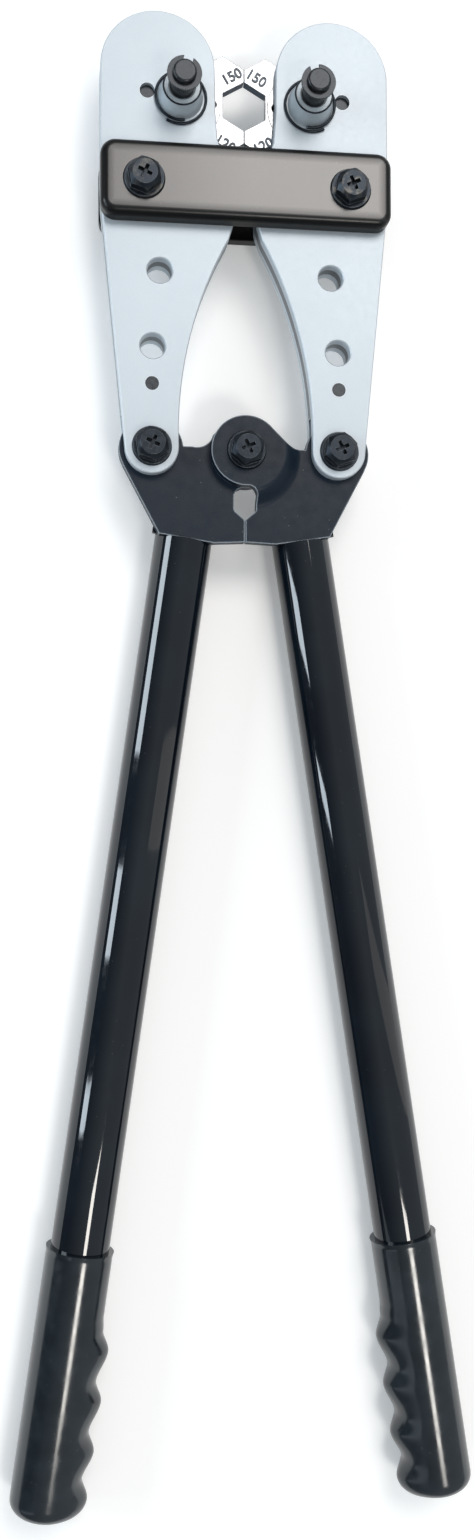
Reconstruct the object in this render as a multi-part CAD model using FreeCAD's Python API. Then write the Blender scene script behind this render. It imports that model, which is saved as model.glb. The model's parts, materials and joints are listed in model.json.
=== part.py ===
"""Hexagonal crimping tool with two turning die wheels, 650 mm long, handles closed.

The tool lies flat. X runs across it, Y runs from the grips to the jaws and Z points out of its
front face. The drawing is made about the centre pivot and then moved, so that the origin is
the bottom centre of the whole tool. Millimetres throughout.
"""
import FreeCAD, Part
import math
import os

V = FreeCAD.Vector

# --- pivots, seen from the front, measured from the centre pivot ---
PIVOT_X, PIVOT_Y = 41.1, 0.7  # jaw pivots, level with the centre pivot when the handles are shut
TIE_X, TIE_Y = 44.9, 113.4    # tie bolts, about which the jaws turn
DIE_X, DIE_Y = 28.65, 153.6   # die wheel axles
ROD = 4.0                     # radius of the M8 bolt shanks
SLEEVE_R = 5.0                # bearing sleeves on the bolts
RUNNING = 0.06                # radial clearance of a running fit
SLOT_TRAVEL = 3.4             # free travel of the right jaw on its tie sleeve, each way

# --- layers through the thickness; the middle of the jaws is height 0 ---
CHEEK_IN, CHEEK_OUT = 2.8, 7.3   # each jaw's front and rear plates
TIE_IN, TIE_OUT = 7.5, 15.5      # tie plates
SHEET = 2.5                      # half thickness of the handle heads
LUG_LOW, LUG_TOP = 2.8, 7.8      # front lug of the joggled right head
JOGGLE_IN, JOGGLE_OUT = 17.0, 25.0
TUBE_Z = -8.2                    # handle tube axis
FLOOR = -23.0                    # lowest faces: grips and tie nuts

# --- jaws ---
JAW_END_R = 11.7
JAW_HEAD = V(38.35, 166.2, 0)
JAW_HEAD_R = 24.9
HOLES = [(37.6, 77.2), (40.7, 44.2)]
HOLE_R = 5.5
RIVET = (41.0, 27.9)
RIVET_R = 3.0
DETENT = (43.0, 155.7)
DETENT_R = 3.3

# --- die wheels: nests at each sixth of a turn, as hexagon widths across flats ---
WHEEL_GAP = 0.15
NESTS = [19.0, 16.8, 15.0, 13.2, 11.6, 10.0]
WHEEL_HALF, BOSS_HALF, BOSS_R = 2.3, 2.65, 18.3
INDENT_AT, INDENT_R = 14.6, 1.9    # holes in the wheel that the detent drops into
AXLE_R = 5.1

# --- tie plates ---
TIE_PLATE_Y = 114.4
TIE_HALF_X, TIE_HALF_Y, TIE_CORNER, TIE_EDGE = 63.5, 16.4, 6.5, 3.4

# --- handles ---
HEAD_R = 14.1
LUG_R = 15.3
SPLIT = 0.2                 # half the gap between the closed heads
SPLAY = 8.35                # degrees that each tube leans outward
TUBE_START = V(26.35, -38.0, TUBE_Z)
TUBE_R, TUBE_WALL, TUBE_LAP = 12.75, 2.0, 14.0
TUBE_END = 414.0
GRIP_START, GRIP_END = 310.5, 424.0
GRIP_R = 14.8
# distance from the grip's mouth and height of the finger swells there; the collar stays plain
SWELLS = [(0, 0), (27.5, 0), (33.8, 0.7), (42.5, 4.1), (55.4, 0.7), (64.1, 4.1), (76.8, 0.7),
          (85.5, 4.1), (96.8, 0.7), (105.5, 4.1), (113.5, 2.4)]
GRIP_STEP = 2.5             # spacing of the sections through the swells
GRIP_ROUND = 6.0            # rounding of the closed end

SIDES = {"left": -1, "right": 1}


def cylinder(x, y, r, z0, z1):
    return Part.makeCylinder(r, z1 - z0, V(x, y, z0))


def slab(outline, z0, z1):
    """A flat plate: the face inside a closed wire, from height z0 to z1."""
    face = Part.Face(outline)
    face.translate(V(0, 0, z0))
    return face.extrude(V(0, 0, z1 - z0))


def polygon(points):
    closed = [V(x, y, 0) for x, y in points]
    return Part.makePolygon(closed + closed[:1])


def merged(*shapes):
    return shapes[0].multiFuse(list(shapes[1:])).removeSplitter()


def sided(shape, side):
    """The right-hand shape, or its mirror image for the left side."""
    return shape if side == "right" else shape.mirror(V(0, 0, 0), V(1, 0, 0))


# ------------------------------------------------------------------ fasteners

def hexagon(x, y, across_flats):
    corner = across_flats / math.sqrt(3)
    turns = [math.radians(60 * i + 20) for i in range(6)]
    return polygon([(x + corner * math.cos(a), y + corner * math.sin(a)) for a in turns])


def flange_bolt(x, y, seat, end, flange_r):
    """Hex flange bolt with a cross recess, head on top of seat, shank down to end."""
    head_top = seat + 7.2
    flange = Part.makeCone(flange_r, flange_r - 0.6, 1.5, V(x, y, seat))
    head = slab(hexagon(x, y, 13.0), seat, head_top)
    crown = Part.makeCone(11.4, 5.3, 6.1, V(x, y, head_top - 6.1))
    head = head.common(merged(crown, cylinder(x, y, 11.4, seat, head_top - 6.1)))
    bolt = merged(flange, head, cylinder(x, y, ROD, end, seat))
    for turn in (25, 115):
        blade = Part.makeBox(6.2, 1.6, 2.6, V(-3.1, -0.8, 0))
        blade.rotate(V(0, 0, 0), V(0, 0, 1), turn)
        blade.translate(V(x, y, head_top - 2.6))
        bolt = bolt.cut(blade)
    return bolt


def flange_nut(x, y, seat, thickness, flange_r):
    """Hex flange nut hanging below the face at height seat."""
    low = seat - thickness
    flange = Part.makeCone(flange_r - 0.6, flange_r, 1.5, V(x, y, seat - 1.5))
    body = slab(hexagon(x, y, 13.0), low, seat)
    crown = Part.makeCone(6.4, 7.9, 1.5, V(x, y, low))
    body = body.common(merged(crown, cylinder(x, y, 7.9, low + 1.5, seat)))
    return merged(flange, body).cut(cylinder(x, y, ROD, low, seat))


def sleeve(x, y, z0, z1):
    return cylinder(x, y, SLEEVE_R, z0, z1).cut(cylinder(x, y, ROD, z0, z1))


# ------------------------------------------------------------------ jaws

def jaw_outline():
    """Right jaw from the front: round pivot end, hollow inner edge, round die end."""
    inner_curve = Part.Arc(V(29.5, 8, 0), V(24.2, 49.5, 0), V(7.3, 92.6, 0)).toShape()
    crown_in = JAW_HEAD - V(JAW_HEAD_R, 0, 0)
    crown_out = JAW_HEAD + V(JAW_HEAD_R, 0, 0)
    crown = Part.Arc(crown_in, JAW_HEAD + V(0, JAW_HEAD_R, 0), crown_out).toShape()
    low_out = V(PIVOT_X + JAW_END_R, PIVOT_Y, 0)
    low_in = V(PIVOT_X - JAW_END_R, PIVOT_Y, 0)
    low_end = Part.Arc(low_out, V(PIVOT_X, PIVOT_Y - JAW_END_R, 0), low_in).toShape()
    up = [V(7.3, 92.6, 0), V(5.2, 99.5, 0), V(5.2, 117, 0), V(12.3, 136, 0), V(13.2, 148, 0), crown_in]
    down = [crown_out, V(63.25, 120, 0), V(63.0, 107, 0), low_out]
    edges = [low_end, Part.makeLine(low_in, V(29.5, 8, 0)), inner_curve]
    edges += [Part.makeLine(a, b) for a, b in zip(up, up[1:])]
    edges += [crown]
    edges += [Part.makeLine(a, b) for a, b in zip(down, down[1:])]
    return Part.Wire(Part.__sortEdges__(edges))


def tie_hole(z0, z1, slotted):
    """Bearing hole on the tie sleeve; the right jaw's is a short slot across the tool."""
    r = SLEEVE_R + RUNNING
    if not slotted:
        return cylinder(TIE_X, TIE_Y, r, z0, z1)
    r += 0.25
    ends = [cylinder(TIE_X + s * SLOT_TRAVEL, TIE_Y, r, z0, z1) for s in (-1, 1)]
    middle = Part.makeBox(2 * SLOT_TRAVEL, 2 * r, z1 - z0, V(TIE_X - SLOT_TRAVEL, TIE_Y - r, z0))
    return merged(ends[0], ends[1], middle)


def jaw_cheek(z0, z1, side, front):
    cheek = slab(jaw_outline(), z0, z1)
    outer_z = z1 if front else z0
    rim = [e for e in cheek.Edges if abs(e.BoundBox.ZMin - outer_z) < 0.01
           and abs(e.BoundBox.ZMax - outer_z) < 0.01]
    cheek = cheek.makeChamfer(0.45, rim)
    cuts = [tie_hole(z0, z1, side == "right"), cylinder(PIVOT_X, PIVOT_Y, ROD, z0, z1)]
    cuts += [cylinder(x, y, HOLE_R, z0, z1) for x, y in HOLES]
    cuts += [cylinder(RIVET[0], RIVET[1], RIVET_R, z0, z1)]
    cuts += [cylinder(DIE_X, DIE_Y, AXLE_R + RUNNING, z0, z1)]
    if front:
        cuts += [cylinder(DETENT[0], DETENT[1], DETENT_R, z0, z1)]
        cuts += [Part.makeCone(HOLE_R, HOLE_R + 0.5, 0.5, V(x, y, z1 - 0.5)) for x, y in HOLES]
    return cheek.cut(cuts[0].multiFuse(cuts[1:]))


def jaw_core(side):
    """Middle plate: fills the jaw between the handle's tongue and the die wheel."""
    core = slab(jaw_outline(), -CHEEK_IN, CHEEK_IN)
    cuts = [cylinder(DIE_X, DIE_Y, 33.8, -CHEEK_IN, CHEEK_IN)]
    cuts += [Part.makeBox(80, 60, 2 * CHEEK_IN, V(0, 145, -CHEEK_IN))]
    cuts += [cylinder(PIVOT_X, PIVOT_Y, HEAD_R + 5.5, -CHEEK_IN, CHEEK_IN)]
    cuts += [tie_hole(-CHEEK_IN, CHEEK_IN, side == "right")]
    cuts += [cylinder(x, y, HOLE_R, -CHEEK_IN, CHEEK_IN) for x, y in HOLES]
    cuts += [cylinder(RIVET[0], RIVET[1], RIVET_R, -CHEEK_IN, CHEEK_IN)]
    pieces = core.cut(cuts[0].multiFuse(cuts[1:])).Solids
    return max(pieces, key=lambda s: s.Volume)


def jaw_rivet():
    return cylinder(RIVET[0], RIVET[1], RIVET_R, -CHEEK_OUT, CHEEK_OUT)


def detent_plug():
    return cylinder(DETENT[0], DETENT[1], DETENT_R, CHEEK_IN + 0.1, CHEEK_IN + 2.3)


# ------------------------------------------------------------------ dies and their axles

def die_wheel():
    """Right wheel: a hexagonal plate with half a crimping nest in the middle of each side."""
    side_r = DIE_X - WHEEL_GAP
    corner = side_r / math.cos(math.radians(30))
    turns = [math.radians(60 * i + 30) for i in range(6)]
    rim = polygon([(corner * math.cos(a), corner * math.sin(a)) for a in turns])
    wheel = slab(rim, -WHEEL_HALF, WHEEL_HALF)
    wheel = merged(wheel, cylinder(0, 0, BOSS_R, -BOSS_HALF, BOSS_HALF))
    cuts = [cylinder(0, 0, AXLE_R + RUNNING, -BOSS_HALF, BOSS_HALF)]
    for i, across in enumerate(NESTS):
        nest_r = across / math.sqrt(3)
        turn = 180 + 60 * i
        points = [(nest_r * math.cos(math.radians(60 * k + 30)), nest_r * math.sin(math.radians(60 * k + 30)))
                  for k in range(6)]
        nest = slab(polygon(points), -BOSS_HALF, BOSS_HALF)
        nest.translate(V(DIE_X, 0, 0))
        nest.rotate(V(0, 0, 0), V(0, 0, 1), turn)
        cuts += [nest]
        indent = cylinder(INDENT_AT, 0, INDENT_R, -BOSS_HALF, BOSS_HALF)
        indent.rotate(V(0, 0, 0), V(0, 0, 1), turn)
        cuts += [indent]
    wheel = wheel.cut(cuts[0].multiFuse(cuts[1:]))
    wheel.translate(V(DIE_X, DIE_Y, 0))
    return wheel


def axle_pin():
    """Spring-loaded axle: a long shaft with a shoulder in the housing and a groove near the tip."""
    shaft = cylinder(DIE_X, DIE_Y, AXLE_R, -CHEEK_OUT, 30.2)
    tip = [e for e in shaft.Edges if e.BoundBox.ZMin > 30]
    shaft = shaft.makeFillet(1.1, tip)
    shoulder = cylinder(DIE_X, DIE_Y, 6.9, 7.6, 9.0)
    groove = cylinder(DIE_X, DIE_Y, 8, 26.6, 27.9).cut(cylinder(DIE_X, DIE_Y, 4.2, 26.6, 27.9))
    return merged(shaft, shoulder).cut(groove)


def e_clip():
    ring = cylinder(DIE_X, DIE_Y, 7.4, 26.65, 27.85).cut(cylinder(DIE_X, DIE_Y, 4.2, 26.65, 27.85))
    mouth = Part.makeBox(9, 4.0, 1.2, V(0, -2.0, 26.65))
    mouth.rotate(V(0, 0, 0), V(0, 0, 1), 105)
    mouth.translate(V(DIE_X, DIE_Y, 0))
    return ring.cut(mouth)


def axle_housing():
    """Tapered housing on the front cheek, with the spring's chamber inside."""
    cone = Part.makeCone(10.0, 8.1, 9.5, V(DIE_X, DIE_Y, CHEEK_OUT))
    chamber = cylinder(DIE_X, DIE_Y, 7.1, CHEEK_OUT, 15.7)
    bore = cylinder(DIE_X, DIE_Y, AXLE_R + RUNNING, CHEEK_OUT, 16.8)
    mouth = Part.makeCone(AXLE_R, AXLE_R + 0.9, 0.9, V(DIE_X, DIE_Y, 15.9))
    return cone.cut(merged(chamber, bore, mouth)).cut(rim_ring())


def rim_ring():
    """Thin dark ring let into the housing's upper rim."""
    return Part.makeTorus(8.1, 0.38, V(DIE_X, DIE_Y, 16.75))


def wire_ring():
    """Wire retaining ring round the foot of the housing."""
    return Part.makeTorus(10.55, 0.65, V(DIE_X, DIE_Y, CHEEK_OUT + 0.65))


def axle_spring():
    """Compression spring between the pin's shoulder and the roof of its housing."""
    spring_r, wire, turns, steps = 6.1, 0.35, 3, 16
    low = 9.0 + wire + 0.1
    rise = (15.7 - wire - 0.1 - low) / (turns * steps)
    points = []
    for i in range(turns * steps + 1):
        a = 2 * math.pi * i / steps
        points += [V(DIE_X + spring_r * math.cos(a), DIE_Y + spring_r * math.sin(a), low + rise * i)]
    path = Part.BSplineCurve()
    path.interpolate(points)
    section = Part.Wire(Part.makeCircle(wire, points[0], points[1] - points[0]))
    return Part.Wire(path.toShape()).makePipeShell([section], True, True)


# ------------------------------------------------------------------ tie plates

def tie_plate(z0, z1, front):
    plate = Part.makeBox(2 * TIE_HALF_X, 2 * TIE_HALF_Y, z1 - z0, V(-TIE_HALF_X, TIE_PLATE_Y - TIE_HALF_Y, z0))
    upright = [e for e in plate.Edges if e.BoundBox.ZLength > 1]
    plate = plate.makeFillet(TIE_CORNER, upright)
    outer_z = z1 if front else z0
    rim = [e for e in plate.Edges if abs(e.BoundBox.ZMin - outer_z) < 0.01
           and abs(e.BoundBox.ZMax - outer_z) < 0.01]
    plate = plate.makeFillet(TIE_EDGE, rim)
    for sign in SIDES.values():
        plate = plate.cut(cylinder(sign * TIE_X, TIE_Y, ROD, z0, z1))
    return plate


# ------------------------------------------------------------------ handles

def head_outline(side):
    """Prism of the right-hand head seen from the front; both heads are drawn on this side."""
    low, high = -20, 20
    tube_side = V(math.cos(math.radians(SPLAY)), math.sin(math.radians(SPLAY)), 0) * TUBE_R
    outer_foot = TUBE_START + tube_side
    inner_foot = TUBE_START - tube_side
    body = [(SPLIT, -39.2), (SPLIT, -29.4), (4.9, -25.4), (4.9, -18.4), (3.6, -16.2), (0, -14.5),
            (0, 10), (10.8, 10.8), (19.4, 2.2), (30, 2.2), (PIVOT_X, 5), (53.5, -6.3),
            (outer_foot.x - 1.2, outer_foot.y), (inner_foot.x, inner_foot.y)]
    shapes = [slab(polygon(body), low, high)]
    shapes += [cylinder(0, 0, LUG_R, low, high), cylinder(PIVOT_X, PIVOT_Y, HEAD_R, low, high)]
    prism = merged(*shapes)
    if side == "left":
        return rounded(prism.cut(cylinder(21.2, 9.4, 7.4, low, high)), {(4.9, -25.4): 2.0})
    return rounded(prism, {(19.4, 2.2): 8.0, (4.9, -18.4): 2.6, (4.9, -25.4): 2.0, (3.6, -16.2): 2.5})


def rounded(prism, corners):
    """Round upright edges, each named by its place, to its own radius."""
    for (x, y), r in corners.items():
        edges = [e for e in prism.Edges if e.BoundBox.ZLength > 30
                 and e.BoundBox.Center.distanceToPoint(V(x, y, e.BoundBox.Center.z)) < 0.2]
        prism = prism.makeFillet(r, edges)
    return prism


def joggle_line(r0, z0, r1, z1):
    """Smooth step of the pressed sheet from radius r0 to r1, level at both ends."""
    curve = Part.BezierCurve()
    curve.setPoles([V(r0, 0, z0), V(r0 + 3, 0, z0), V(r1 - 3, 0, z1), V(r1, 0, z1)])
    return curve.toShape()


def handle_head(side):
    """Sheet steel head. The right one is joggled forward so that its lug laps over the left."""
    if side == "left":
        sheet = cylinder(0, 0, 90, -SHEET, SHEET)
        pivot = cylinder(0, 0, SLEEVE_R + RUNNING, -SHEET, SHEET)
    else:
        front = [V(0, 0, LUG_LOW), V(0, 0, LUG_TOP), V(JOGGLE_IN, 0, LUG_TOP)]
        rear = [V(JOGGLE_OUT, 0, SHEET), V(90, 0, SHEET), V(90, 0, -SHEET), V(JOGGLE_OUT - 1, 0, -SHEET)]
        edges = [Part.makePolygon(front), joggle_line(JOGGLE_IN, LUG_TOP, JOGGLE_OUT, SHEET),
                 Part.makePolygon(rear), joggle_line(JOGGLE_IN - 1, LUG_LOW, JOGGLE_OUT - 1, -SHEET),
                 Part.makeLine(V(JOGGLE_IN - 1, 0, LUG_LOW), front[0])]
        outline = Part.Wire(Part.__sortEdges__([e for part in edges for e in part.Edges]))
        sheet = Part.Face(outline).revolve(V(0, 0, 0), V(0, 0, 1), 360)
        pivot = cylinder(0, 0, ROD, LUG_LOW, LUG_TOP)
    head = head_outline(side).common(sheet)
    head = head.cut(merged(pivot, cylinder(PIVOT_X, PIVOT_Y, SLEEVE_R + RUNNING, -SHEET, SHEET)))
    return max(head.Solids, key=lambda s: s.Volume)


def along_tube(station):
    """A point on the right tube's axis, station millimetres below the head's lower edge."""
    lean = math.radians(SPLAY)
    return TUBE_START + V(math.sin(lean), -math.cos(lean), 0) * station


def tube_rod(r, s0, s1):
    start = along_tube(s0)
    return Part.makeCylinder(r, s1 - s0, start, along_tube(s1) - start)


def above_lap():
    """The space in front of the tube's lap joint, which the sheet head takes up."""
    box = Part.makeBox(60, 40, 40, V(-30, 0, -SHEET))
    box.rotate(V(0, 0, 0), V(0, 0, 1), SPLAY)
    box.translate(V(TUBE_START.x, TUBE_START.y, 0))
    return box


def handle_tube():
    tube = tube_rod(TUBE_R, -TUBE_LAP, TUBE_END).cut(tube_rod(TUBE_R - TUBE_WALL, -TUBE_LAP, TUBE_END))
    return tube.cut(above_lap())


def tube_spigot():
    """Solid bar inside the top of the tube, welded to the back of the head."""
    return tube_rod(TUBE_R - TUBE_WALL, -TUBE_LAP, 22).cut(above_lap())


def weld_beads():
    """Two fillet welds where the lapped tube meets the back of the head."""
    beads = []
    for sign in (-1, 1):
        bead = tube_rod(2.2, -TUBE_LAP + 1, -1)
        shift = V(math.cos(math.radians(SPLAY)), math.sin(math.radians(SPLAY)), 0) * (sign * 12.2)
        bead.translate(shift + V(0, 0, -SHEET - 0.6 - TUBE_Z))
        below = Part.makeBox(140, 140, 30, V(-40, -110, -SHEET - 30))
        beads += [bead.common(below).cut(tube_rod(TUBE_R, -TUBE_LAP, 10))]
    return Part.makeCompound([max(b.Solids, key=lambda s: s.Volume) for b in beads])


def swell_at(station):
    """Height of the finger swells, rising and falling smoothly between the listed points."""
    for (here, low), (there, high) in zip(SWELLS, SWELLS[1:]):
        if station <= there:
            part = (station - here) / (there - here)
            return low + (high - low) * part * part * (3 - 2 * part)
    return SWELLS[-1][1]


def grip_section(station, trim):
    """Oval cross-section; trim makes it smaller all round and a swell widens its inner side."""
    lean = math.radians(SPLAY)
    inward = V(-math.cos(lean), -math.sin(lean), 0)
    swell = swell_at(station)
    thick = GRIP_R - trim
    wide = thick + swell / 2 + 0.01
    middle = along_tube(GRIP_START + station) + inward * (swell / 2)
    return Part.Wire(Part.Ellipse(middle + inward * wide, middle + V(0, 0, thick), middle).toShape())


def handle_grip():
    """Dipped grip with four finger swells on its inner side, closed at the end."""
    length = GRIP_END - GRIP_START
    plain = SWELLS[1][0]
    count = int((length - GRIP_ROUND - plain) / GRIP_STEP)
    sections = [grip_section(0, 0)]
    sections += [grip_section(plain + GRIP_STEP * i, 0) for i in range(count + 1)]
    for left in (4.2, 2.8, 1.7, 0.8, 0.25, 0):
        trim = GRIP_ROUND - math.sqrt(GRIP_ROUND ** 2 - (GRIP_ROUND - left) ** 2)
        sections += [grip_section(length - left, trim)]
    body = Part.makeLoft(sections, True, True)
    return body.cut(tube_rod(TUBE_R, GRIP_START - 5, TUBE_END))


# ------------------------------------------------------------------ assembly

def build():
    nodes = {}
    for side in SIDES:
        half = {
            "handle_head": handle_head(side),
            "handle_tube": handle_tube(),
            "tube_spigot": tube_spigot(),
            "weld_beads": weld_beads(),
            "handle_grip": handle_grip(),
            "jaw_front_plate": jaw_cheek(CHEEK_IN, CHEEK_OUT, side, True),
            "jaw_centre_plate": jaw_core(side),
            "jaw_rear_plate": jaw_cheek(-CHEEK_OUT, -CHEEK_IN, side, False),
            "jaw_rivet": jaw_rivet(),
            "detent_plug": detent_plug(),
            "die_wheel": die_wheel(),
            "axle_pin": axle_pin(),
            "e_clip": e_clip(),
            "axle_housing": axle_housing(),
            "rim_ring": rim_ring(),
            "wire_ring": wire_ring(),
            "axle_spring": axle_spring(),
            "pivot_bolt": flange_bolt(PIVOT_X, PIVOT_Y, CHEEK_OUT, -13.9, 8.7),
            "pivot_sleeve": sleeve(PIVOT_X, PIVOT_Y, -CHEEK_IN, CHEEK_IN),
            "pivot_nut": flange_nut(PIVOT_X, PIVOT_Y, -CHEEK_OUT, 7.0, 8.7),
            "tie_bolt": flange_bolt(TIE_X, TIE_Y, TIE_OUT, -22.6, 9.1),
            "tie_sleeve": sleeve(TIE_X, TIE_Y, -TIE_IN, TIE_IN),
            "tie_nut": flange_nut(TIE_X, TIE_Y, -TIE_OUT, -TIE_OUT - FLOOR, 9.1),
        }
        for name, shape in half.items():
            nodes[name + "_" + side] = sided(shape, side)
    nodes["tie_plate_front"] = tie_plate(TIE_IN, TIE_OUT, True)
    nodes["tie_plate_rear"] = tie_plate(-TIE_OUT, -TIE_IN, False)
    nodes["centre_bolt"] = flange_bolt(0, 0, LUG_TOP, -10.9, 8.7)
    nodes["centre_sleeve"] = sleeve(0, 0, -CHEEK_IN, LUG_LOW)
    nodes["centre_washer"] = cylinder(0, 0, 9.5, -4.4, -CHEEK_IN).cut(cylinder(0, 0, ROD, -4.4, -CHEEK_IN))
    nodes["centre_nut"] = flange_nut(0, 0, -4.4, 7.0, 8.7)
    return nodes


def place(nodes):
    """Move the drawing so that the origin is the bottom centre of the tool."""
    whole = Part.makeCompound(list(nodes.values())).optimalBoundingBox(False, False)
    for shape in nodes.values():
        shape.translate(V(0, -whole.Center.y, -FLOOR))
    print("centre pivot at y", -whole.Center.y, "sizes", whole.XLength, whole.YLength, whole.ZLength)
    return nodes


os.makedirs("parts", exist_ok=True)
for name, shape in place(build()).items():
    shape.exportStep(os.path.join("parts", name + ".step"))
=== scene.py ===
"""Looks of a two-handed hexagonal crimping tool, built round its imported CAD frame."""
import json
import math

import bmesh
import bpy
from mathutils import Matrix, Vector


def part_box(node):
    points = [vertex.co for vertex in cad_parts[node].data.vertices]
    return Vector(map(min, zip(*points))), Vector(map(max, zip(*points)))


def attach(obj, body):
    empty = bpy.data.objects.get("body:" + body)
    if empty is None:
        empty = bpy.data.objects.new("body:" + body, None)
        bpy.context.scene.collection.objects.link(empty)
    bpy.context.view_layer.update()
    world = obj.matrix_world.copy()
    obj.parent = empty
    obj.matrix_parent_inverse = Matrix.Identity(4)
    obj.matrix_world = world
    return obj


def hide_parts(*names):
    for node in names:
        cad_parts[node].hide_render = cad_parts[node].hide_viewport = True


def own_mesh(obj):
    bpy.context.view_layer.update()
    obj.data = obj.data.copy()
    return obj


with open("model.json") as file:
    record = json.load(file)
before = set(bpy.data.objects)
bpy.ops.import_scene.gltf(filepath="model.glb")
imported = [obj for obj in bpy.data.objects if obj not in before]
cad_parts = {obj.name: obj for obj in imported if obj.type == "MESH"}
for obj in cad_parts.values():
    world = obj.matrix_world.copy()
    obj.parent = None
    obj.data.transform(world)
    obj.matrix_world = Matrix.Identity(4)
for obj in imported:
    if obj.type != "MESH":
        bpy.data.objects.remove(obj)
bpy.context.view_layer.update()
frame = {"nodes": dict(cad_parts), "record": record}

MM = 0.001
SIDES = {"left": -1, "right": 1}
NODES = frame["nodes"]


def middle(node):
    low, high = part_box(node)
    return (low + high) / 2


def placed(name, data):
    """A new object of this name and data, put into the scene."""
    made = bpy.data.objects.new(name, data)
    bpy.context.scene.collection.objects.link(made)
    return made


# ------------------------------------------------------------------ camera

# The camera hangs over the tool, a little left of the centre bolt and nearer to the grips.
CAMERA_LEFT, CAMERA_DOWN, CAMERA_HEIGHT = 0.08321, 0.15425, 0.62797
CAMERA_RIGHT = Vector((0.991445, -0.002408, 0.130506))
CAMERA_UP = Vector((-0.000923, 0.999675, 0.025463))
FILM_HEIGHT, FOCAL_LENGTH = 36, 32.669
NEAREST_SHOWN = 0.01

pivot = middle("centre_bolt")
camera = placed("camera", bpy.data.cameras.new("camera"))
camera.location = (pivot.x - CAMERA_LEFT, pivot.y - CAMERA_DOWN, CAMERA_HEIGHT)
camera_axes = Matrix((CAMERA_RIGHT, CAMERA_UP, CAMERA_RIGHT.cross(CAMERA_UP))).transposed()
camera.rotation_euler = camera_axes.to_euler()
camera.data.sensor_fit = "VERTICAL"
camera.data.sensor_height = FILM_HEIGHT
camera.data.lens = FOCAL_LENGTH
camera.data.clip_start = NEAREST_SHOWN
bpy.context.scene.camera = camera

# ------------------------------------------------------------------ shader tools

BEVEL_SAMPLES = 6
# How far two normals agree where an edge starts to show, and where it shows fully.
EDGE_STARTS, EDGE_FULL = 0.985, 0.86
# A colour mix node's sockets, by number because their names repeat.
MIX_FIRST, MIX_SECOND, MIX_RESULT = 6, 7, 2
RANGE_SOCKETS = ("From Min", "From Max", "To Min", "To Max")


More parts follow.
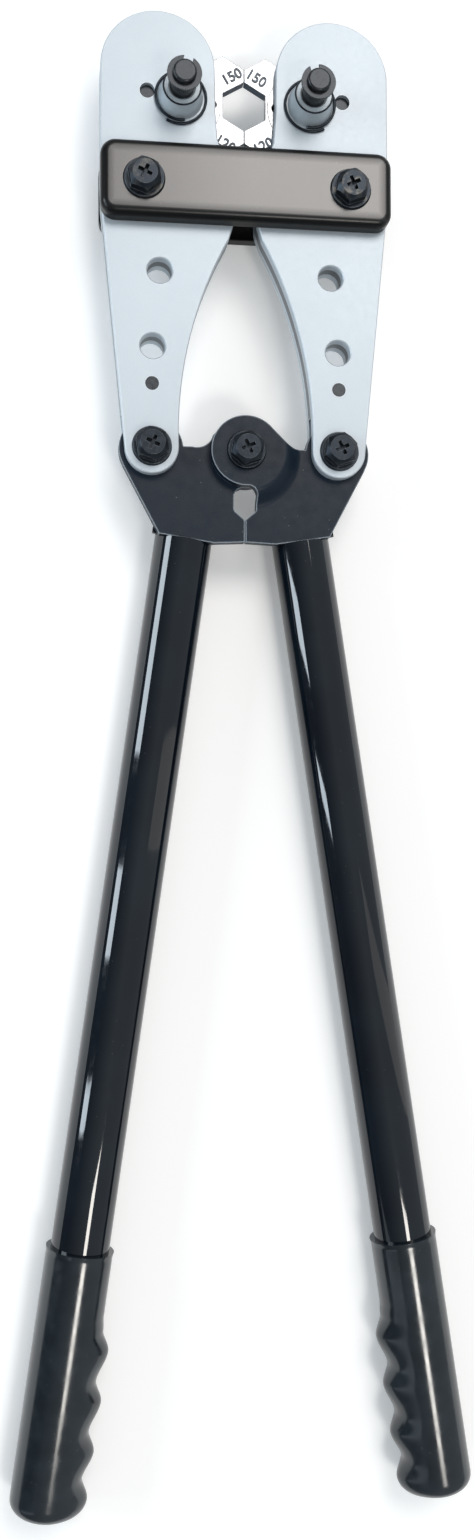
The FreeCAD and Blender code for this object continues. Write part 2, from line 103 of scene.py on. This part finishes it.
class Shader:
    """A material with one Principled shader, and short ways to add its nodes."""

    def __init__(self, name, metallic=0.0, roughness=0.5, specular=0.5, coat_roughness=0.05):
        self.material = bpy.data.materials.new(name)
        self.material.use_nodes = True
        self.tree = self.material.node_tree
        self.shader = self.tree.nodes["Principled BSDF"]
        self.set("Metallic", metallic)
        self.set("Roughness", roughness)
        self.set("Specular IOR Level", specular)
        self.set("Coat Roughness", coat_roughness)
        self.place = self.node("ShaderNodeTexCoord").outputs["Object"]

    def set(self, socket, value):
        self.shader.inputs[socket].default_value = value

    def node(self, kind, **settings):
        made = self.tree.nodes.new(kind)
        for key, value in settings.items():
            setattr(made, key, value)
        return made

    def link(self, output, target):
        self.tree.links.new(output, target)

    def feed(self, made, socket, value):
        """Give a node's socket either another node's output or a plain number."""
        if hasattr(value, "links"):
            self.link(value, made.inputs[socket])
        else:
            made.inputs[socket].default_value = value

    def stretched(self, scale):
        """The object's coordinates, scaled along each axis."""
        made = self.node("ShaderNodeMapping")
        self.link(self.place, made.inputs["Vector"])
        made.inputs["Scale"].default_value = scale
        return made.outputs["Vector"]

    def noise(self, size, detail=3.0, rough=0.5, vector=None, distortion=0.0):
        """Noise whose blobs are about size millimetres across."""
        made = self.node("ShaderNodeTexNoise")
        self.link(vector or self.place, made.inputs["Vector"])
        made.inputs["Scale"].default_value = 1 / (size * MM)
        made.inputs["Detail"].default_value = detail
        made.inputs["Roughness"].default_value = rough
        made.inputs["Distortion"].default_value = distortion
        return made.outputs["Fac"]

    def cells(self, size):
        """Distance to the nearest of a crowd of points about size millimetres apart."""
        made = self.node("ShaderNodeTexVoronoi")
        self.link(self.place, made.inputs["Vector"])
        made.inputs["Scale"].default_value = 1 / (size * MM)
        return made.outputs["Distance"]

    def ramp(self, value, low, high, to_low=0.0, to_high=1.0):
        """Value brought from the range low..high to the range to_low..to_high, and kept in it."""
        made = self.node("ShaderNodeMapRange")
        self.feed(made, "Value", value)
        for socket, number in zip(RANGE_SOCKETS, (low, high, to_low, to_high)):
            made.inputs[socket].default_value = number
        return made.outputs["Result"]

    def maths(self, operation, first, second=0.0):
        made = self.node("ShaderNodeMath", operation=operation)
        self.feed(made, 0, first)
        self.feed(made, 1, second)
        return made.outputs["Value"]

    def mix(self, amount, first, second):
        """The first colour at amount 0, the second at amount 1."""
        made = self.node("ShaderNodeMix", data_type="RGBA")
        self.feed(made, "Factor", amount)
        for socket, colour in ((MIX_FIRST, first), (MIX_SECOND, second)):
            self.feed(made, socket, colour if hasattr(colour, "links") else (*colour, 1))
        return made.outputs[MIX_RESULT]

    def over(self, tone, mask, strength, colour):
        """The tone with a colour laid over it where the mask is 1, at this strength."""
        return self.mix(self.maths("MULTIPLY", mask, strength), tone, colour)

    def edges(self, radius):
        """1 along convex and concave edges, 0 on flat faces."""
        bevel = self.node("ShaderNodeBevel", samples=BEVEL_SAMPLES)
        bevel.inputs["Radius"].default_value = radius * MM
        dot = self.node("ShaderNodeVectorMath", operation="DOT_PRODUCT")
        self.link(bevel.outputs["Normal"], dot.inputs[0])
        self.link(self.node("ShaderNodeNewGeometry").outputs["Normal"], dot.inputs[1])
        return self.ramp(dot.outputs["Value"], EDGE_STARTS, EDGE_FULL)

    def surface(self, tone, rough=None, bumps=(), bevel=0.3):
        """Feed tone and roughness, and stack (height, depth in mm) bumps on edges rounded by bevel."""
        self.link(tone, self.shader.inputs["Base Color"])
        if rough is not None:
            self.link(rough, self.shader.inputs["Roughness"])
        if bevel:
            soft = self.node("ShaderNodeBevel", samples=BEVEL_SAMPLES)
            soft.inputs["Radius"].default_value = bevel * MM
        else:
            soft = self.node("ShaderNodeNewGeometry")
        normal = soft.outputs["Normal"]
        for height, depth in bumps:
            bump = self.node("ShaderNodeBump")
            bump.inputs["Strength"].default_value = 1.0
            bump.inputs["Distance"].default_value = depth * MM
            self.link(height, bump.inputs["Height"])
            self.link(normal, bump.inputs["Normal"])
            normal = bump.outputs["Normal"]
        self.link(normal, self.shader.inputs["Normal"])
        return self.material


# ------------------------------------------------------------------ materials


def shade(colour, level):
    return tuple(level * channel for channel in colour)


def jaw_silver(name, level):
    """Matt silver plating, its whole tone scaled by level (a level below 1 paints shade), with a painted
    highlight along the edges.
    """
    pale, paler = (0.50, 0.555, 0.60), (0.535, 0.59, 0.635)
    speck, edge = (0.40, 0.45, 0.49), (0.93, 0.96, 0.98)
    s = Shader(name, metallic=0.3, roughness=0.42, specular=0.4)
    cloud = s.ramp(s.noise(60, 2, 0.5), 0.3, 0.7)
    grain = s.ramp(s.noise(0.55, 2, 0.7), 0.3, 0.7)
    tone = s.mix(cloud, shade(pale, level), shade(paler, level))
    tone = s.over(tone, grain, 0.25, shade(speck, level))
    # Painted highlight: the edges are lightened to near white.
    tone = s.over(tone, s.edges(0.8), 0.7, edge)
    rough = s.ramp(s.noise(2, 3), 0.3, 0.7, 0.4, 0.44)
    return s.surface(tone, rough, [(grain, 0.006)], bevel=0.35)


def satin_silver():
    """Cast silver of the axle housings, grainier than the jaws, with a painted highlight along the edges."""
    grey, pale = (0.50, 0.56, 0.60), (0.60, 0.66, 0.70)
    speck, edge = (0.28, 0.32, 0.36), (0.85, 0.88, 0.9)
    s = Shader("satin silver", metallic=0.4, roughness=0.5, specular=0.35)
    grain = s.ramp(s.noise(0.5, 2, 0.7), 0.3, 0.7)
    cloud = s.ramp(s.noise(8, 3, 0.5), 0.3, 0.7)
    tone = s.mix(cloud, grey, pale)
    tone = s.over(tone, grain, 0.25, speck)
    # Painted highlight: the edges are lightened.
    tone = s.over(tone, s.edges(0.35), 0.5, edge)
    rough = s.ramp(s.noise(3, 3), 0.3, 0.7, 0.46, 0.56)
    return s.surface(tone, rough, [(grain, 0.008)], bevel=0.3)


def head_black():
    """Blue-black paint on the sheet heads, with specks, scuffs, dust and a painted highlight along the edges.
    """
    black, blue_black = (0.002, 0.008, 0.018), (0.008, 0.019, 0.034)
    scuffed, dusty, edge_highlight = (0.20, 0.21, 0.22), (0.32, 0.33, 0.34), (0.50, 0.56, 0.62)
    s = Shader("head black", roughness=0.45, specular=0.3)
    speckle = s.ramp(s.noise(0.5, 2, 0.75), 0.45, 0.75)
    dust = s.ramp(s.cells(5.5), 0.05, 0.012)
    scuff = s.ramp(s.noise(3.2, 5, 0.7, s.stretched((1, 3.5, 1))), 0.66, 0.74)
    tone = s.mix(speckle, black, blue_black)
    tone = s.over(tone, scuff, 0.22, scuffed)
    tone = s.over(tone, dust, 0.5, dusty)
    # Painted highlight: the edges are lightened to a pale blue grey.
    tone = s.over(tone, s.edges(1.0), 0.85, edge_highlight)
    rough = s.ramp(s.noise(4, 3), 0.3, 0.7, 0.36, 0.5)
    return s.surface(tone, rough, [(speckle, 0.01), (s.noise(6, 2), 0.03)], bevel=0.5)


def gloss_paint():
    """Glossy black paint on the tubes and their welds, drawn out lengthwise, with a little dust."""
    black, dark, dusty = (0.002, 0.004, 0.008), (0.004, 0.008, 0.013), (0.20, 0.20, 0.19)
    s = Shader("tube black", roughness=0.1, specular=0.62)
    film = s.noise(2.4, 2, 0.5, s.stretched((1, 0.35, 1)))
    dust = s.ramp(s.cells(4.0), 0.055, 0.02)
    cloud = s.ramp(s.noise(30, 3), 0.35, 0.7)
    tone = s.mix(cloud, black, dark)
    tone = s.over(tone, dust, 0.35, dusty)
    rough = s.ramp(s.noise(5, 4, 0.6), 0.35, 0.75, 0.03, 0.08)
    return s.surface(tone, rough, [(film, 0.0015)], bevel=0)


def tie_paint():
    """Brownish black of the tie plates under a clear coat; at the rim and to the left its gloss and tone are
    dimmed as painted shade.
    """
    rim, inner = 1.0 * MM, 6.5 * MM
    left_end, plate_middle = -0.062, 0.0
    coat_most = 0.88
    black, brown = (0.012, 0.011, 0.011), (0.022, 0.020, 0.019)
    scratched, dusty, painted_shade_black = (0.16, 0.15, 0.14), (0.35, 0.32, 0.29), (0.003, 0.003, 0.003)
    s = Shader("tie black", roughness=0.3, specular=0.1, coat_roughness=0.26)
    s.set("Coat IOR", 2.0)
    low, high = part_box("tie_plate_front")
    spot = s.node("ShaderNodeSeparateXYZ")
    s.link(s.place, spot.inputs[0])
    inset = []
    for axis in range(2):
        half = (high[axis] - low[axis]) / 2
        off = s.maths("SUBTRACT", spot.outputs[axis], low[axis] + half)
        inset.append(s.maths("SUBTRACT", half, s.maths("ABSOLUTE", off)))
    # Painted shade: the clear coat's weight falls towards the rim and towards the plate's left end, darkening
    # the reflection there.
    painted_sheen = s.ramp(s.maths("MINIMUM", *inset), rim, inner, 0.07, 1.0)
    painted_sheen = s.maths("MULTIPLY", painted_sheen, s.ramp(spot.outputs["X"], left_end, plate_middle, 0.6, 0.84))
    s.link(s.maths("MULTIPLY", painted_sheen, coat_most), s.shader.inputs["Coat Weight"])
    cloud = s.ramp(s.noise(22, 3, 0.6), 0.35, 0.7)
    scratch = s.ramp(s.noise(1.4, 4, 0.6, s.stretched((0.16, 1, 1)), 0.4), 0.68, 0.73)
    dust = s.ramp(s.cells(3.4), 0.075, 0.03)
    tone = s.mix(cloud, black, brown)
    tone = s.over(tone, scratch, 0.12, scratched)
    tone = s.over(tone, dust, 0.25, dusty)
    # Painted shade: the tone goes to near black where the coat's weight falls.
    tone = s.mix(painted_sheen, painted_shade_black, tone)
    rough = s.ramp(s.noise(7, 4, 0.6), 0.3, 0.75, 0.28, 0.31)
    return s.surface(tone, rough, [(s.noise(0.7, 2), 0.002), (scratch, -0.003)], bevel=0.8)


def vinyl():
    """Dipped vinyl of the grips, shiny and slightly sagged."""
    dark, grey, dusty = (0.005, 0.009, 0.013), (0.010, 0.016, 0.022), (0.22, 0.21, 0.19)
    s = Shader("grip vinyl", roughness=0.17, specular=0.7)
    skin = s.noise(1.1, 2, 0.5)
    sag = s.noise(9, 2, 0.5, s.stretched((1, 0.5, 1)))
    dust = s.ramp(s.cells(3.6), 0.07, 0.02)
    tone = s.mix(s.ramp(s.noise(12, 3), 0.35, 0.7), dark, grey)
    tone = s.over(tone, dust, 0.35, dusty)
    rough = s.ramp(s.noise(6, 4, 0.6), 0.3, 0.75, 0.12, 0.24)
    return s.surface(tone, rough, [(skin, 0.003), (sag, 0.012)], bevel=0)


def oxide(name, worn):
    """Black oxide of bolts, nuts and rings, lighter at the edges as rubbing and as a painted highlight; worn
    adds brassy patches.
    """
    black, blue_grey = (0.013, 0.018, 0.025), (0.030, 0.037, 0.047)
    rubbed_and_lit, brassy = (0.24, 0.26, 0.28), (0.22, 0.20, 0.16)
    s = Shader(name, metallic=0.75, roughness=0.36, specular=0.5)
    patch = s.ramp(s.noise(2.6, 4, 0.65), 0.4, 0.7)
    # Lighter edges, broken up by noise: partly rubbed metal, partly a painted highlight.
    rub_and_highlight = s.maths("MULTIPLY", s.edges(0.45), s.ramp(s.noise(1.5, 3), 0.3, 0.6, 0.35, 1.0))
    tone = s.mix(patch, black, blue_grey)
    tone = s.over(tone, rub_and_highlight, 0.75, rubbed_and_lit)
    if worn:
        brass = s.ramp(s.noise(3.4, 4, 0.6), 0.5, 0.72)
        tone = s.over(tone, brass, 0.35, brassy)
    rough = s.ramp(patch, 0, 1, 0.28, 0.45)
    return s.surface(tone, rough, [(s.noise(0.9, 3), 0.012)], bevel=0.35)


def die_chrome():
    """Brushed steel of the dies: bright faces, with painted shade on the walls and along the edges."""
    dull, bright = (0.30, 0.31, 0.33), (0.42, 0.43, 0.44)
    wall_shade, edge = (0.05, 0.07, 0.10), (0.07, 0.08, 0.10)
    s = Shader("die chrome", metallic=1.0, roughness=0.16)
    brush = s.noise(0.8, 3, 0.6, s.stretched((1, 6, 1)))
    smear = s.ramp(s.noise(5, 4, 0.6), 0.35, 0.7)
    tone = s.mix(smear, dull, bright)
    # Painted shade: faces that are not turned up are darkened.
    upright = s.node("ShaderNodeSeparateXYZ")
    s.link(s.node("ShaderNodeNewGeometry").outputs["Normal"], upright.inputs[0])
    flat = s.ramp(upright.outputs["Z"], 0.2, 0.9)
    tone = s.mix(flat, wall_shade, tone)
    # Painted shade along the edges.
    tone = s.over(tone, s.edges(0.9), 0.95, edge)
    rough = s.ramp(smear, 0, 1, 0.1, 0.24)
    return s.surface(tone, rough, [(brush, 0.006), (s.noise(3, 2), 0.02)], bevel=0.35)


def bright_steel():
    """Turned bright steel of the sleeves and springs, with a painted highlight along the edges."""
    grey, bright, edge = (0.52, 0.54, 0.56), (0.70, 0.72, 0.73), (0.85, 0.86, 0.87)
    s = Shader("bright steel", metallic=0.9, roughness=0.32)
    lathe = s.noise(0.5, 2, 0.5, s.stretched((0.15, 0.15, 3)))
    tone = s.mix(s.ramp(s.noise(4, 4), 0.35, 0.7), grey, bright)
    # Painted highlight: the edges are lightened.
    tone = s.over(tone, s.edges(0.3), 0.5, edge)
    rough = s.ramp(s.noise(2, 3), 0.3, 0.7, 0.26, 0.4)
    return s.surface(tone, rough, [(lathe, 0.01)], bevel=0.25)


def dark_steel():
    """Darkened steel of the axle pins, clips, plugs, rivets and spigots, with a painted highlight along the
    edges.
    """
    dark, grey, edge = (0.025, 0.028, 0.032), (0.055, 0.06, 0.066), (0.26, 0.27, 0.29)
    s = Shader("dark steel", metallic=0.8, roughness=0.34)
    patch = s.ramp(s.noise(2.2, 4, 0.6), 0.38, 0.7)
    tone = s.mix(patch, dark, grey)
    # Painted highlight: the edges are lightened.
    tone = s.over(tone, s.edges(0.35), 0.5, edge)
    rough = s.ramp(patch, 0, 1, 0.26, 0.42)
    return s.surface(tone, rough, [(s.noise(0.8, 3), 0.01)], bevel=0.3)


def stamp_groove_shade():
    """Dull dark grey of the stamped digits: painted shade of their grooves."""
    dark, grey = (0.07, 0.08, 0.10), (0.20, 0.23, 0.26)
    s = Shader("stamped groove", roughness=0.6)
    tone = s.mix(s.ramp(s.noise(0.6, 3), 0.3, 0.7), dark, grey)
    return s.surface(tone, bumps=[(s.noise(0.4, 2), 0.01)], bevel=0.05)


LOOKS = {
    "jaw_silver": jaw_silver("jaw silver", 1.0),
    "head_black": head_black(),
    "tube_black": gloss_paint(),
    "tie_black": tie_paint(),
    "grip_vinyl": vinyl(),
    "black_oxide": oxide("black oxide", False),
    "die_steel": die_chrome(),
    "bright_steel": bright_steel(),
    "dark_steel": dark_steel(),
}
SLOT = {part["node"]: part["material_slot"] for part in frame["record"]["subparts"]}
for name, shown in NODES.items():
    shown.data.materials.clear()
    shown.data.materials.append(LOOKS[SLOT[name]])

# Pieces that look different from the others in their slot.
worn_oxide = oxide("worn oxide", True)
satin = satin_silver()
# The jaw's centre plate takes the jaw's tone at 0.3: painted shade of the recess between the cheeks.
core_in_shade = jaw_silver("jaw core", 0.3)
for side in SIDES:
    NODES["tie_bolt_" + side].data.materials[0] = worn_oxide
    NODES["axle_housing_" + side].data.materials[0] = satin
    NODES["jaw_centre_plate_" + side].data.materials[0] = core_in_shade
GROOVE_SHADE = stamp_groove_shade()

# ------------------------------------------------------------------ stamped sizes on the dies

STAMP_HEIGHT = 4.7 * MM
FONT_PER_HEIGHT = 1.35
STAMP_BOLD = 0.16 * MM
STAMP_DEPTH = 0.06 * MM
# Share of the depth by which the digits' middle lies below the die's face.
STAMP_SUNK = 0.3
STAMP_SLANT = math.radians(22)
NEST_PITCH = math.radians(60)
# Each cable size, and how far its number stands from the middle of its nest, in millimetres.
NUMBERS = {"150": 14.0, "120": 9.6, "95": 11.4, "70": 10.6, "50": 9.9, "35": 9.2}


def evaluated_mesh(drawn):
    """The mesh that a text or curve object shows; the object itself is removed."""
    bpy.context.view_layer.update()
    mesh = bpy.data.meshes.new_from_object(drawn.evaluated_get(bpy.context.evaluated_depsgraph_get()))
    bpy.data.objects.remove(drawn)
    return mesh


def stamped(text, name, body, where, turn):
    """Digits standing a hair above the die's face, read from the front."""
    curve = bpy.data.curves.new(name, "FONT")
    curve.body = text
    curve.align_x = "CENTER"
    curve.align_y = "CENTER"
    curve.size = STAMP_HEIGHT * FONT_PER_HEIGHT
    curve.offset = STAMP_BOLD
    curve.extrude = STAMP_DEPTH / 2
    mesh = evaluated_mesh(placed(name, curve))
    shown = placed(name, mesh)
    shown.matrix_world = Matrix.Translation(where) @ Matrix.Rotation(turn, 4, "Z")
    mesh.materials.clear()
    mesh.materials.append(GROOVE_SHADE)
    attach(shown, body)


for side, sign in SIDES.items():
    low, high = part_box("die_wheel_" + side)
    axle = (low + high) / 2
    face = high.z - STAMP_DEPTH * STAMP_SUNK
    reach = (high.x - low.x) / 2
    for i, (number, away) in enumerate(NUMBERS.items()):
        nest = NEST_PITCH * i
        aside, along = away * MM * math.sin(STAMP_SLANT), away * MM * math.cos(STAMP_SLANT)
        beside = Matrix.Rotation(sign * nest, 3, "Z") @ Vector((sign * (aside - reach), along, 0))
        spot = Vector((axle.x + beside.x, axle.y + beside.y, face))
        turn = sign * (nest - NEST_PITCH / 2)
        stamped(number, f"stamp_{number}_{side}", side + "_die", spot, turn)

# ------------------------------------------------------------------ springs round the axle pins

for side in SIDES:
    low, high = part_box("axle_spring_" + side)
    source = NODES["axle_spring_" + side]
    spring = placed("spring_" + side, source.data.copy())
    spring.matrix_world = source.matrix_world.copy()
    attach(spring, side + "_jaw")
    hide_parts("axle_spring_" + side)
    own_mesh(spring)

# ------------------------------------------------------------------ wire rings at the axle housings

WIRE = 0.62 * MM
WIRE_ROUNDNESS = 4
WIRE_STEPS = 100
INNER_TURN, OUTER_TURN = 10.75 * MM, 12.1 * MM
# In degrees: where the free end lies, where it meets the inner turn, and the wire's whole sweep.
FREE_END, MERGE, WHOLE = -120, 70, 400
WIRE_CLIMB = 0.9 * MM


def eased(x):
    return x * x * (3 - 2 * x)


def wire_ring(side, sign):
    """A wire of a little more than one turn: its free end lies outside the first turn."""
    low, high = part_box("wire_ring_" + side)
    centre = (low + high) / 2
    curve = bpy.data.curves.new("wire_" + side, "CURVE")
    curve.dimensions = "3D"
    curve.bevel_depth = WIRE
    curve.bevel_resolution = WIRE_ROUNDNESS
    curve.use_fill_caps = True
    line = curve.splines.new("POLY")
    line.points.add(WIRE_STEPS)
    for i, point in enumerate(line.points):
        along = i / WIRE_STEPS
        inward = eased(min(WHOLE * along / (MERGE - FREE_END), 1))
        r = OUTER_TURN + (INNER_TURN - OUTER_TURN) * inward
        a = math.radians(FREE_END + WHOLE * along)
        x, y = centre.x - sign * r * math.cos(a), centre.y + r * math.sin(a)
        point.co = (x, y, low.z + WIRE + WIRE_CLIMB * along ** 2, 1)
    mesh = evaluated_mesh(placed("wire_curve", curve))
    shown = placed("wire_" + side, mesh)
    for polygon in mesh.polygons:
        polygon.use_smooth = True
    mesh.materials.clear()
    mesh.materials.append(LOOKS["black_oxide"])
    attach(shown, side + "_jaw")
    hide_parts("wire_ring_" + side)


for side, sign in SIDES.items():
    wire_ring(side, sign)

# ------------------------------------------------------------------ smooth tubes and grips

SPLAY_DEGREES = 8.35
SPLAY = math.radians(SPLAY_DEGREES)
ROUND_STEPS = 160
SHARP = math.radians(30)
SAME_PLACE = 0.001 * MM
NO_CEILING = 1.0

TUBE_WALL = 2.0 * MM
LAP = 14.0 * MM

# The grip, in millimetres measured along the tube from the grip's mouth.
GRIP_LENGTH, TUBE_INSIDE_GRIP = 113.5, 103.5
GRIP_ROUND = 6.0
LIP_LENGTH, LIP = 2.2, 0.3
ROW_STEP, STRAIGHT_ROWS = 0.75, 144
# How far the last rows, which follow the rounded end, are from it.
END_ROWS = (4.6, 3.4, 2.4, 1.5, 0.8, 0.3, 0)
# (distance from the mouth, height of the finger swells on the grip's inner side)
SWELLS = [(0, 0), (27.5, 0), (33.8, 0.7), (42.5, 4.1), (55.4, 0.7), (64.1, 4.1), (76.8, 0.7),
          (85.5, 4.1), (96.8, 0.7), (105.5, 4.1), (113.5, 2.4)]
# The higher, the narrower the swells are across the grip.
SWELL_FOCUS = 2.4


def swell_at(station):
    """Height of the finger swells at a distance from the mouth."""
    for (here, low), (there, high) in zip(SWELLS, SWELLS[1:]):
        if station <= there:
            return low + (high - low) * eased((station - here) / (there - here))
    return SWELLS[-1][1]


def ring(shape, centre, sign, radius, ceiling=NO_CEILING, swell=0.0):
    """Vertices square to the tube, swollen on the inner side and flat where they reach the ceiling."""
    made = []
    for i in range(ROUND_STEPS):
        a = math.tau * i / ROUND_STEPS
        r = radius + swell * max(-sign * math.cos(a), 0) ** SWELL_FOCUS
        aside = Vector((math.cos(SPLAY), sign * math.sin(SPLAY), 0)) * r * math.cos(a)
        height = min(centre.z + radius * math.sin(a), ceiling)
        made.append(shape.verts.new((centre.x + aside.x, centre.y + aside.y, height)))
    return made


def bridged(shape, rings):
    """Faces between each ring and the next."""
    for here, there in zip(rings, rings[1:]):
        for i in range(ROUND_STEPS):
            j = (i + 1) % ROUND_STEPS
            shape.faces.new((here[i], here[j], there[j], there[i]))


def finished(shape, name, side, look, node):
    """Turn the drawn shape into a piece that stands in for a node of the handle."""
    bmesh.ops.remove_doubles(shape, verts=shape.verts[:], dist=SAME_PLACE)
    bmesh.ops.recalc_face_normals(shape, faces=shape.faces[:])
    for face in shape.faces:
        face.smooth = True
    for edge in shape.edges:
        edge.smooth = edge.calc_face_angle(0) < SHARP
    mesh = bpy.data.meshes.new(name)
    shape.to_mesh(mesh)
    shape.free()
    mesh.materials.append(LOOKS[look])
    shown = placed(name, mesh)
    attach(shown, side + "_handle")
    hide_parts(node)


def tube_line(side, sign):
    """The tube's radius and the middles of its lower and upper ends."""
    low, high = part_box("handle_tube_" + side)
    radius = (high.z - low.z) / 2
    across, along = radius * math.cos(SPLAY), radius * math.sin(SPLAY)
    foot_x, top_x = (high.x - across, low.x + across) if sign > 0 else (low.x + across, high.x - across)
    axis_z = (low.z + high.z) / 2
    return radius, Vector((foot_x, low.y + along, axis_z)), Vector((top_x, high.y - along, axis_z))


def smooth_tube(side, sign):
    """The handle tube drawn finely, its top end lapped under the sheet head."""
    radius, foot, top = tube_line(side, sign)
    head_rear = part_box("handle_head_" + side)[0].z
    shoulder = top + (foot - top).normalized() * LAP
    stops = [(foot, NO_CEILING), (shoulder, NO_CEILING), (shoulder, head_rear), (top, head_rear)]
    shape = bmesh.new()
    outside = [ring(shape, centre, sign, radius, ceiling) for centre, ceiling in stops]
    inside = [ring(shape, centre, sign, radius - TUBE_WALL, ceiling) for centre, ceiling in reversed(stops)]
    bridged(shape, outside + inside + outside[:1])
    finished(shape, "tube_" + side, side, "tube_black", "handle_tube_" + side)


def smooth_grip(side, sign):
    """The grip drawn finely: a plain collar, then finger swells that leave its outer side round."""
    tube_radius, foot, top = tube_line(side, sign)
    low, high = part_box("handle_grip_" + side)
    radius = (high.z - low.z) / 2
    down = (foot - top).normalized()
    mouth = foot - down * TUBE_INSIDE_GRIP * MM
    shape = bmesh.new()
    socket_end = mouth + down * TUBE_INSIDE_GRIP * MM
    rings = [ring(shape, socket_end, sign, tube_radius), ring(shape, mouth, sign, tube_radius)]
    rows = [i * ROW_STEP for i in range(STRAIGHT_ROWS)] + [GRIP_LENGTH - left for left in END_ROWS]
    for row in rows:
        into_round = max(GRIP_ROUND - (GRIP_LENGTH - row), 0)
        trim = GRIP_ROUND - math.sqrt(GRIP_ROUND ** 2 - into_round ** 2)
        lip = LIP * eased(min(row / LIP_LENGTH, 1))
        size = radius - (trim + lip) * MM
        rings.append(ring(shape, mouth + down * row * MM, sign, size, swell=swell_at(row) * MM))
    bridged(shape, rings)
    shape.faces.new(rings[0])
    shape.faces.new(rings[-1])
    finished(shape, "grip_" + side, side, "grip_vinyl", "handle_grip_" + side)


for side, sign in SIDES.items():
    smooth_tube(side, sign)
    smooth_grip(side, sign)

# ------------------------------------------------------------------ floor

FLOOR_SIZE = 6.0
FLOOR_WHITE = (0.95, 0.95, 0.95, 1)
FLOOR_GLOW, GLOW_STRENGTH = (1.0, 0.99, 0.97, 1), 0.2

half = FLOOR_SIZE / 2
sheet = bpy.data.meshes.new("floor")
corners = [(-half, -half, 0), (half, -half, 0), (half, half, 0), (-half, half, 0)]
sheet.from_pydata(corners, [], [(0, 1, 2, 3)])
floor = placed("floor", sheet)
pale = Shader("pale floor", roughness=0.8, specular=0.2)
pale.set("Base Color", FLOOR_WHITE)
pale.set("Emission Color", FLOOR_GLOW)
pale.set("Emission Strength", GLOW_STRENGTH)
floor.data.materials.append(pale.material)

# ------------------------------------------------------------------ light

DAYLIGHT = (0.80, 0.91, 1.0)
CEILING_WHITE = (1.0, 0.95, 0.91)
LAMP_WHITE = (1.0, 0.96, 0.9)
WALL_WARM = (1.0, 0.93, 0.86)

# The window's panes: their lower and upper ends along the tool; they stand on a line that is parallel
# to the left tube, so that the streak they throw runs straight down it.
PANES = [(0.245, 0.6), (-0.044, 0.086), (-0.29, -0.218)]
PANE_LINE_X, PANE_LINE_Y = -1.27, 0.3
PANE_HEIGHT, PANE_TALL = 0.62, 0.55
PANE_WATTS_PER_METRE = 19


def area_light(name, where, aim, size_x, size_y, watts, colour, turn=0.0):
    """A rectangular lamp facing its aim; turn swings it flat about the vertical, in degrees."""
    lamp = bpy.data.lights.new(name, "AREA")
    lamp.shape = "RECTANGLE"
    lamp.size = size_x
    lamp.size_y = size_y
    lamp.energy = watts
    lamp.color = colour
    holder = placed(name, lamp)
    holder.location = where
    facing = (Vector(aim) - Vector(where)).to_track_quat("-Z", "Y").to_matrix()
    holder.rotation_euler = (Matrix.Rotation(math.radians(turn), 3, "Z") @ facing).to_euler()


for pane, (low, high) in enumerate(PANES):
    along, length = (low + high) / 2, high - low
    spot = (PANE_LINE_X + math.tan(SPLAY) * (along - PANE_LINE_Y), along, PANE_HEIGHT)
    watts = PANE_WATTS_PER_METRE * length
    area_light(f"window pane {pane}", spot, (0, along, 0), length, PANE_TALL, watts, DAYLIGHT, -SPLAY_DEGREES)
area_light("open door", where=(-1.38, -1.2, 0.86), aim=(0, -1.2, 0),
           size_x=0.3, size_y=1.4, watts=0.9, colour=DAYLIGHT)
area_light("ceiling", where=(0.45, 1.15, 1.9), aim=(0, 0.1, 0),
           size_x=1.2, size_y=0.95, watts=19, colour=CEILING_WHITE)
area_light("lamp over the grips", where=(0.47, -0.98, 1.9), aim=(0.47, -0.98, 0),
           size_x=0.42, size_y=0.46, watts=11, colour=LAMP_WHITE)
area_light("far side", where=(1.5, -0.2, 0.6), aim=(0, 0, 0),
           size_x=0.2, size_y=2.4, watts=0.8, colour=WALL_WARM)

# ------------------------------------------------------------------ world

SKY_COLOUR = (0.86, 0.94, 1.0, 1)
# The sky is dimmest on the left: where the brightening starts and ends, and its strengths there.
SKY_START, SKY_END, SKY_DIM, SKY_BRIGHT = -0.85, 0.1, 0.12, 0.5

world = bpy.data.worlds.new("studio")
bpy.context.scene.world = world
world.use_nodes = True
sky = world.node_tree
direction = sky.nodes.new("ShaderNodeSeparateXYZ")
sky.links.new(sky.nodes.new("ShaderNodeTexCoord").outputs["Generated"], direction.inputs[0])
level = sky.nodes.new("ShaderNodeMapRange")
sky.links.new(direction.outputs["X"], level.inputs["Value"])
for socket, number in zip(RANGE_SOCKETS, (SKY_START, SKY_END, SKY_DIM, SKY_BRIGHT)):
    level.inputs[socket].default_value = number
sky.links.new(level.outputs["Result"], sky.nodes["Background"].inputs["Strength"])
sky.nodes["Background"].inputs["Color"].default_value = SKY_COLOUR
bpy.context.scene.view_settings.view_transform = "Standard"
